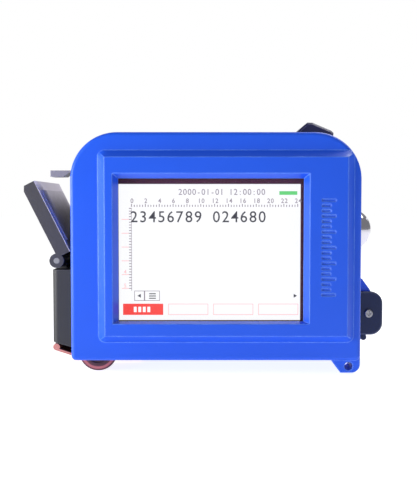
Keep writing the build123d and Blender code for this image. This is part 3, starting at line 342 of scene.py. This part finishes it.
# ------------------------------------------------------------------ display
class Display:
    """Draws thin inked shapes on the lit panel, in the panel's own dots from its top left corner."""

    def __init__(self):
        low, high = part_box("lcd_module")
        self.dot = SCREEN_WIDTH * MM / DOTS_ACROSS
        middle = (low.z + high.z) / 2 - SCREEN_DROP * MM
        self.left = (low.x + high.x) / 2 - (SCREEN_WIDTH / 2 + SCREEN_LEFTWARD) * MM
        self.top = middle + SCREEN_HEIGHT * MM / 2
        self.front = low.y - INK_LIFT * MM
        self.glyphs = {}

    def spot(self, across, down):
        return Vector((self.left + across * self.dot, self.front, self.top - down * self.dot))

    def bar(self, bm, left, top, right, low, lift=0.0):
        """A filled rectangle."""
        start = self.spot(left, low)
        end = self.spot(right, top)
        shift = Vector((0, lift * MM, 0))
        brick(bm, start - shift, end + Vector((0, INK_THICK * MM, 0)) - shift)

    def box(self, bm, left, top, right, low, line=1.0):
        """The outline of a rectangle."""
        self.bar(bm, left, top, right, top + line)
        self.bar(bm, left, low - line, right, low)
        self.bar(bm, left, top + line, left + line, low - line)
        self.bar(bm, right - line, top + line, right, low - line)

    def arrow(self, bm, across, down, size, way):
        """A filled triangle that points left (way -1) or right (way 1)."""
        made = bmesh.ops.create_cone(
            bm,
            cap_ends=True,
            segments=3,
            radius1=size * self.dot,
            radius2=size * self.dot,
            depth=INK_THICK * MM,
        )["verts"]
        turn = Matrix.Rotation(math.radians(90), 4, "X") @ Matrix.Rotation(math.radians(-90 * way), 4, "Z")
        bmesh.ops.transform(bm, matrix=turn, verts=made)
        bmesh.ops.translate(bm, vec=self.spot(across, down), verts=made)

    def glyph(self, letter, weight):
        """One character as a mesh, a unit high, standing up and facing the operator."""
        if (letter, weight) not in self.glyphs:
            curve = bpy.data.curves.new("glyph", "FONT")
            curve.body = letter
            curve.size = 1.0
            curve.extrude = 0.005
            curve.offset = weight
            curve.resolution_u = 3
            holder = bpy.data.objects.new("glyph", curve)
            bpy.context.scene.collection.objects.link(holder)
            bpy.context.view_layer.update()
            mesh = bpy.data.meshes.new_from_object(holder)
            bpy.data.objects.remove(holder)
            bpy.data.curves.remove(curve)
            mesh.transform(Matrix.Rotation(math.radians(90), 4, "X"))
            self.glyphs[letter, weight] = mesh
        return self.glyphs[letter, weight]

    def write(self, bm, words, across, down, height, pitch, squeeze=1.0, weight=0.0):
        """Evenly spaced characters: `down` is their foot line, `height` the height of a figure."""
        unit = max(vertex.co.z for vertex in self.glyph("0", weight).vertices)
        scale = height * self.dot / unit
        for place, letter in enumerate(words):
            if letter == " ":
                continue
            mesh = self.glyph(letter, weight)
            before = set(bm.verts)
            bm.from_mesh(mesh)
            fresh = [vertex for vertex in bm.verts if vertex not in before]
            sides = [vertex.co.x for vertex in fresh]
            middle = (min(sides) + max(sides)) / 2
            bmesh.ops.translate(bm, vec=(-middle, 0, 0), verts=fresh)
            bmesh.ops.scale(bm, vec=(scale * squeeze, scale, scale), verts=fresh)
            target = self.spot(across + (place + 0.5) * pitch, down)
            bmesh.ops.translate(bm, vec=target, verts=fresh)


def display_panel():
    """The lit panel: white where it shows a picture, and its dark mask all round."""
    panel = Display()
    finish = Finish("display_glass", emission_strength=1.0, roughness=0.35, specular_ior_level=0.1)
    across, _, up = finish.axes()
    half_wide = SCREEN_WIDTH * MM / 2
    half_high = SCREEN_HEIGHT * MM / 2
    side = abs(across - (panel.left + half_wide))
    rise = abs(up - (panel.top - half_high))
    edge = 0.1 * MM
    lit = (1 - side.above(half_wide, edge)) * (1 - rise.above(half_high, edge))
    cloud = finish.noise(24, 2)
    white = finish.blend(cloud, (0.95, 0.96, 1.0), (1.0, 1.0, 1.0))
    fall_off = (side / half_wide) ** 6 * 0.05 + (rise / half_high) ** 6 * 0.06
    dimmed = finish.blend(fall_off, white, (0.72, 0.76, 0.95))
    finish.set(emission_color=finish.blend(lit, (0.0, 0.0, 0.0), dimmed))
    finish.set(base_color=finish.blend(lit, (0.055, 0.008, 0.035), (0.05, 0.05, 0.05)))
    nodes["lcd_module"].material_slots[0].material = finish.material
    return panel


def display_picture(panel):
    """A date coder's edit page: clock, rulers, the line to print and a row of keys."""
    grey = flat_ink("ink_grey", (0.24, 0.20, 0.26), 1.0)
    dark = flat_ink("ink_dark", (0.030, 0.030, 0.045), 1.0)
    faint = flat_ink("ink_faint", (0.24, 0.20, 0.25), 1.0)
    green = flat_ink("ink_green", (0.10, 0.58, 0.16), 1.0)
    red = flat_ink("ink_red", (0.87, 0.045, 0.035), 1.0)
    pink = flat_ink("ink_pink", (0.90, 0.50, 0.52), 1.0)
    white = flat_ink("ink_white", (0.98, 0.94, 0.95), 1.0)

    clock = bmesh.new()
    moment = "2000-01-01 12:00:00"
    panel.write(clock, moment, across=104.5, down=19, height=10.5, pitch=8.1, squeeze=0.95, weight=0.004)
    keep_piece("screen_clock", clock, grey)

    charge = bmesh.new()
    panel.bar(charge, left=282.5, top=12.5, right=314, low=19)
    keep_piece("screen_charge_bar", charge, green)

    ruler = bmesh.new()
    ruler_left, ruler_foot, step, group = 22, 40.2, 4.87, 5
    tick_width, short_tick, long_tick = 1.5, 3.8, 5.4
    across_count, down_count = 61, 30
    for tick in range(across_count):
        x = ruler_left + tick * step
        tall = short_tick if tick % group else long_tick
        panel.bar(ruler, left=x, top=ruler_foot - tall, right=x + tick_width, low=ruler_foot)
    side_top = ruler_foot + 1.8
    side_tick_left = ruler_left - 4
    for tick in range(down_count):
        y = side_top + tick * step
        panel.bar(ruler, left=side_tick_left, top=y, right=ruler_left, low=y + 1.4)
    side_foot = side_top + down_count * step
    panel.bar(ruler, left=ruler_left, top=side_top, right=ruler_left + 0.8, low=side_foot)
    figure_foot, figure_height, figure_pitch = 33.2, 8, 6.4
    for label in range(0, across_count, group):
        figures = str(label // group * 2)
        left = ruler_left + tick_width + label * step - figure_pitch / 2 * len(figures)
        panel.write(
            ruler,
            figures,
            across=left,
            down=figure_foot,
            height=figure_height,
            pitch=figure_pitch,
            squeeze=0.95,
            weight=0.012,
        )
    keep_piece("screen_rulers", ruler, faint)

    rungs = bmesh.new()
    first_rung, bare_rungs = group - 1, 4
    for tick in range(first_rung, down_count, group):
        y = side_top + tick * step
        panel.bar(rungs, left=5, top=y, right=side_tick_left, low=y + 1.2)
        if tick > bare_rungs * group:
            figures = str(tick // group)
            panel.write(rungs, figures, across=8, down=y - 1, height=7, pitch=6, squeeze=0.9, weight=0.012)
    keep_piece("screen_side_rungs", rungs, pink)

    message = bmesh.new()
    line = "23456789 024680"
    panel.write(message, line, across=19, down=67, height=19.5, pitch=16.1, squeeze=0.98, weight=0.004)
    keep_piece("screen_message", message, dark)

    boxes_top, boxes_foot = 188, 206
    buttons = bmesh.new()
    panel.box(buttons, left=27, top=boxes_top, right=45, low=boxes_foot)
    panel.box(buttons, left=45, top=boxes_top, right=72, low=boxes_foot)
    keep_piece("screen_small_boxes", buttons, faint)
    boxes_middle = (boxes_top + boxes_foot) / 2
    marks = bmesh.new()
    panel.arrow(marks, across=36.5, down=boxes_middle, size=4, way=-1)
    panel.arrow(marks, across=310.5, down=boxes_middle, size=4, way=1)
    for row in range(3):
        top = boxes_top + 4.5 + row * 4
        panel.bar(marks, left=53, top=top, right=65, low=top + 1.8)
    keep_piece("screen_marks", marks, dark)

    keys_top, keys_foot = 211, 231
    key_width, key_pitch, key_left = 71, 79.6, 7
    first = bmesh.new()
    panel.bar(first, left=key_left, top=keys_top, right=key_left + key_width, low=keys_foot)
    keep_piece("screen_red_key", first, red)
    others = bmesh.new()
    for key in range(1, 4):
        left = key_left + key * key_pitch
        panel.box(others, left=left, top=keys_top, right=left + key_width, low=keys_foot, line=1.2)
    keep_piece("screen_key_frames", others, pink)
    label = bmesh.new()
    for stroke in range(4):
        left = 26 + stroke * 8
        panel.bar(label, left=left, top=216.5, right=left + 5, low=226, lift=KEY_MARK_LIFT)
    keep_piece("screen_key_mark", label, white)


def touch_glass():
    """Clear resistive panel over the display."""
    finish = Finish("touch_glass", base_color=(0.6, 0.62, 0.68), alpha=0.03, ior=1.45)
    finish.set(roughness=finish.noise(60, 3) * 0.10 + 0.08)
    nodes["touch_panel"].material_slots[0].material = finish.material


# ------------------------------------------------------------------ finishes of the frame's own parts
def axle_of(node):
    low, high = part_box(node)
    return (low.x + high.x) / 2, (low.z + high.z) / 2


def finish_nodes():
    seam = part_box("front_shell")[1].y
    blue = moulded(
        "case_blue",
        (0.010, 0.093, 0.74),
        rough=0.38,
        edge_wear_and_highlight=(0.17, 0.36, 1.0),
        coat=0.06,
        mottle=0.05,
        seam=seam,
        gloss=0.3,
        radius=0.7,
    )
    holder = moulded(
        "holder_dark",
        (0.034, 0.034, 0.036),
        rough=0.5,
        edge_wear_and_highlight=(0.20, 0.20, 0.21),
        grain=1500,
        depth=0.00006,
        gloss=0.35,
    )
    flap = flap_plastic()
    tab = moulded("tab_grey", (0.23, 0.22, 0.26), rough=0.42, edge_wear_and_highlight=(0.45, 0.45, 0.48), grain=1300)
    slate = moulded(
        "trigger_slate",
        (0.020, 0.021, 0.075),
        rough=0.36,
        edge_wear_and_highlight=(0.30, 0.28, 0.48),
        grain=1500,
        coat=0.08,
        gloss=0.4,
    )
    black = moulded("switch_black", (0.02, 0.02, 0.022), rough=0.45, edge_wear_and_highlight=(0.1, 0.1, 0.1), grain=1200)
    hub = moulded("hub_black", (0.060, 0.014, 0.028), rough=0.4, edge_wear_and_highlight=(0.20, 0.12, 0.13), grain=1200)
    cartridge = moulded(
        "cartridge_black", (0.018, 0.018, 0.02), rough=0.38, edge_wear_and_highlight=(0.1, 0.1, 0.1), grain=1400, coat=0.2
    )
    navy = moulded(
        "plate_navy",
        (0.009, 0.020, 0.070),
        rough=0.45,
        edge_wear_and_highlight=(0.10, 0.12, 0.24),
        grain=900,
        depth=0.00008,
        gloss=0.3,
    )
    wrap = moulded(
        "battery_wrap", (0.06, 0.22, 0.12), rough=0.25, edge_wear_and_highlight=(0.2, 0.4, 0.28), grain=500, coat=0.4
    )
    board = moulded("board", (0.012, 0.15, 0.06), rough=0.35, edge_wear_and_highlight=(0.1, 0.3, 0.15), grain=700, coat=0.3)
    steel = turned_metal("steel", (0.34, 0.34, 0.37), 0.32)
    chrome = turned_metal("chrome", (0.62, 0.61, 0.68), 0.08, lines=300)
    brass = turned_metal("brass", (0.78, 0.58, 0.28), 0.25)
    copper = turned_metal("guard_copper", (0.62, 0.27, 0.25), 0.42, lines=700, spread=(1, 0.05, 1))
    magnet = turned_metal("magnet", (0.16, 0.16, 0.17), 0.45)
    seal = rubber("seal_rubber", (0.02, 0.02, 0.02))
    # Painted sheen: the pad is given a pale grey like the flap's inner face.
    pad = rubber("pad_grey", (0.50, 0.47, 0.55))

    paint = {
        blue: ["front_shell", "rear_shell", "battery_cover", "strap_bracket"],
        holder: ["cartridge_holder"],
        flap: ["latch_flap"],
        tab: ["release_tab"],
        slate: ["trigger_button"],
        black: ["trigger_switch", "contact_block", "power_socket"],
        hub: ["encoder_hub", "rear_roller_hub", "right_roller_hub"],
        cartridge: ["ink_cartridge"],
        navy: ["anchor_plate", "strap_pin"],
        wrap: ["battery_pack"],
        board: ["main_board", "encoder_sensor", "port_board"],
        chrome: ["power_button_body", "power_button_cap"],
        brass: ["board_spacers", "nozzle_plate", "contact_pins"],
        copper: ["nozzle_guard"],
        magnet: ["encoder_magnet"],
        seal: ["shell_seal", "screen_gasket"],
        pad: ["flap_pad"],
    }
    for material, names in paint.items():
        for name in names:
            nodes[name].material_slots[0].material = material
    for name in ("encoder", "rear_roller", "right_roller"):
        axis = axle_of(name + "_tyre")
        # The second colour is the painted highlight ring on the tyre's end.
        tyre = rubber(name + "_rubber", (0.065, 0.012, 0.032), highlight_ring=(0.42, 0.13, 0.14), axis=axis)
        nodes[name + "_tyre"].material_slots[0].material = tyre
    painted = {name for names in paint.values() for name in names}
    others = ("tyre", "lcd_module", "touch_panel")
    for name, node in nodes.items():
        if name not in painted and not name.endswith(others):
            node.material_slots[0].material = steel
    return blue, steel


def coil_springs(steel):
    """Each spring becomes a steel piece of its own that rides on the housing, and the imported spring is
    hidden; how far each point lies along its joint's axis is worked out but not used.
    """
    joints = {joint["name"]: joint for joint in frame["joints"]}
    pushed = (
        ("release_spring", "catch_slide"),
        ("trigger_spring", "trigger_press"),
        ("power_button_spring", "power_press"),
    )
    for name, joint in pushed:
        coil = nodes[name].data.copy()
        coil.transform(nodes[name].matrix_world)
        along = Vector(joints[joint]["axis"]).normalized()
        low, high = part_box(name)
        middle = (low + high) / 2
        reach = [(vertex.co - middle).dot(along) for vertex in coil.vertices]
        piece = keep_piece(name + "_coil", coil, steel)
        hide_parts(name)
        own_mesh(piece)


def cartridge_label():
    """A plain paper label on the cartridge, where the open flap shows it."""
    low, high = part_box("ink_cartridge")
    size = high - low
    finish = Finish("label_paper", roughness=0.7, specular_ior_level=0.3)
    _, _, up = finish.axes()
    height = up - (low.z + size.z * LABEL_STRIPE_SHARE)
    blur = 0.2 * MM
    stripe = height.above(0.0, blur) * (1 - height.above(LABEL_STRIPE * MM, blur))
    fibre = finish.noise(900, 3)
    paper = finish.blend(fibre, (0.72, 0.71, 0.68), (0.80, 0.79, 0.76))
    finish.set(base_color=finish.blend(stripe, paper, (0.02, 0.10, 0.45)))
    finish.bump(fibre, 0.00001, 0.4)
    front, back = LABEL_DEPTH_SHARES
    foot, head = LABEL_HEIGHT_SHARES
    label = bmesh.new()
    brick(
        label,
        (low.x - LABEL_PROUD * MM, low.y + size.y * front, low.z + size.z * foot),
        (low.x + LABEL_ROOT * MM, low.y + size.y * back, low.z + size.z * head),
    )
    keep_piece("cartridge_label", label, finish.material)


def cover_ribs(blue):
    """Finger ribs across the battery cover."""
    low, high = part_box("battery_cover")
    middle = (low.x + high.x) / 2
    ribs = bmesh.new()
    for rib in range(RIB_COUNT):
        foot = low.z + (RIB_START + rib * RIB_PITCH) * MM
        brick(
            ribs,
            (middle - RIB_LENGTH / 2 * MM, high.y - RIB_ROOT * MM, foot),
            (middle + RIB_LENGTH / 2 * MM, high.y + RIB_HEIGHT * MM, foot + RIB_WIDTH * MM),
            RIB_ROUND * MM,
        )
    keep_piece("cover_ribs", ribs, blue)


# ------------------------------------------------------------------ studio
def studio():
    """A plain pale floor, soft light and the camera."""
    floor_mesh = bpy.data.meshes.new("floor")
    bm = bmesh.new()
    bmesh.ops.create_grid(bm, x_segments=1, y_segments=1, size=FLOOR_REACH_METRES)
    bm.to_mesh(floor_mesh)
    bm.free()
    floor = bpy.data.objects.new("floor", floor_mesh)
    bpy.context.scene.collection.objects.link(floor)
    pale = Finish("floor_pale", roughness=0.9, specular_ior_level=0.1, emission_strength=0.86)
    pale.set(emission_color=(1.0, 1.0, 1.0))
    cloudy = pale.noise(3, 2)
    pale.set(base_color=pale.blend(cloudy, (0.52, 0.52, 0.54), (0.56, 0.56, 0.58)))
    floor_mesh.materials.append(pale.material)

    world = bpy.data.worlds.new("studio")
    bpy.context.scene.world = world
    world.use_nodes = True
    sky = world.node_tree
    soft = sky.nodes["Background"]
    soft.inputs["Color"].default_value = (0.97, 0.975, 1.0, 1.0)
    soft.inputs["Strength"].default_value = 0.27
    paper = sky.nodes.new("ShaderNodeBackground")
    paper.inputs["Color"].default_value = (1.0, 1.0, 1.0, 1.0)
    seen = sky.nodes.new("ShaderNodeLightPath")
    both = sky.nodes.new("ShaderNodeMixShader")
    sky.links.new(seen.outputs["Is Camera Ray"], both.inputs[0])
    sky.links.new(soft.outputs[0], both.inputs[1])
    sky.links.new(paper.outputs[0], both.inputs[2])
    sky.links.new(both.outputs[0], sky.nodes["World Output"].inputs["Surface"])

    target = Vector((0, 0, 0.045))
    lamps = (
        {"name": "key", "place": (-0.34, -0.17, 0.07), "size": 0.16, "power": 1.5},
        {"name": "top", "place": (0.28, 0.20, 0.52), "size": 0.35, "power": 2.6},
    )
    for lamp in lamps:
        light = bpy.data.lights.new(lamp["name"], "AREA")
        light.size = lamp["size"]
        light.energy = lamp["power"]
        stand = bpy.data.objects.new(lamp["name"], light)
        stand.location = lamp["place"]
        stand.rotation_euler = (target - stand.location).to_track_quat("-Z", "Y").to_euler()
        bpy.context.scene.collection.objects.link(stand)

    camera = bpy.data.cameras.new("camera")
    camera.lens = 64.0
    camera.sensor_width = 36.0
    camera.clip_start = 0.01
    stand = bpy.data.objects.new("camera", camera)
    stand.location = (0.0019, -0.384, 0.0663)
    stand.rotation_euler = (math.radians(90 - CAMERA_TILT_DEGREES), 0, 0)
    bpy.context.scene.collection.objects.link(stand)
    bpy.context.scene.camera = stand
    bpy.context.scene.view_settings.view_transform = "Standard"


blue, steel = finish_nodes()
coil_springs(steel)
cartridge_label()
cover_ribs(blue)
panel = display_panel()
display_picture(panel)
touch_glass()
studio()
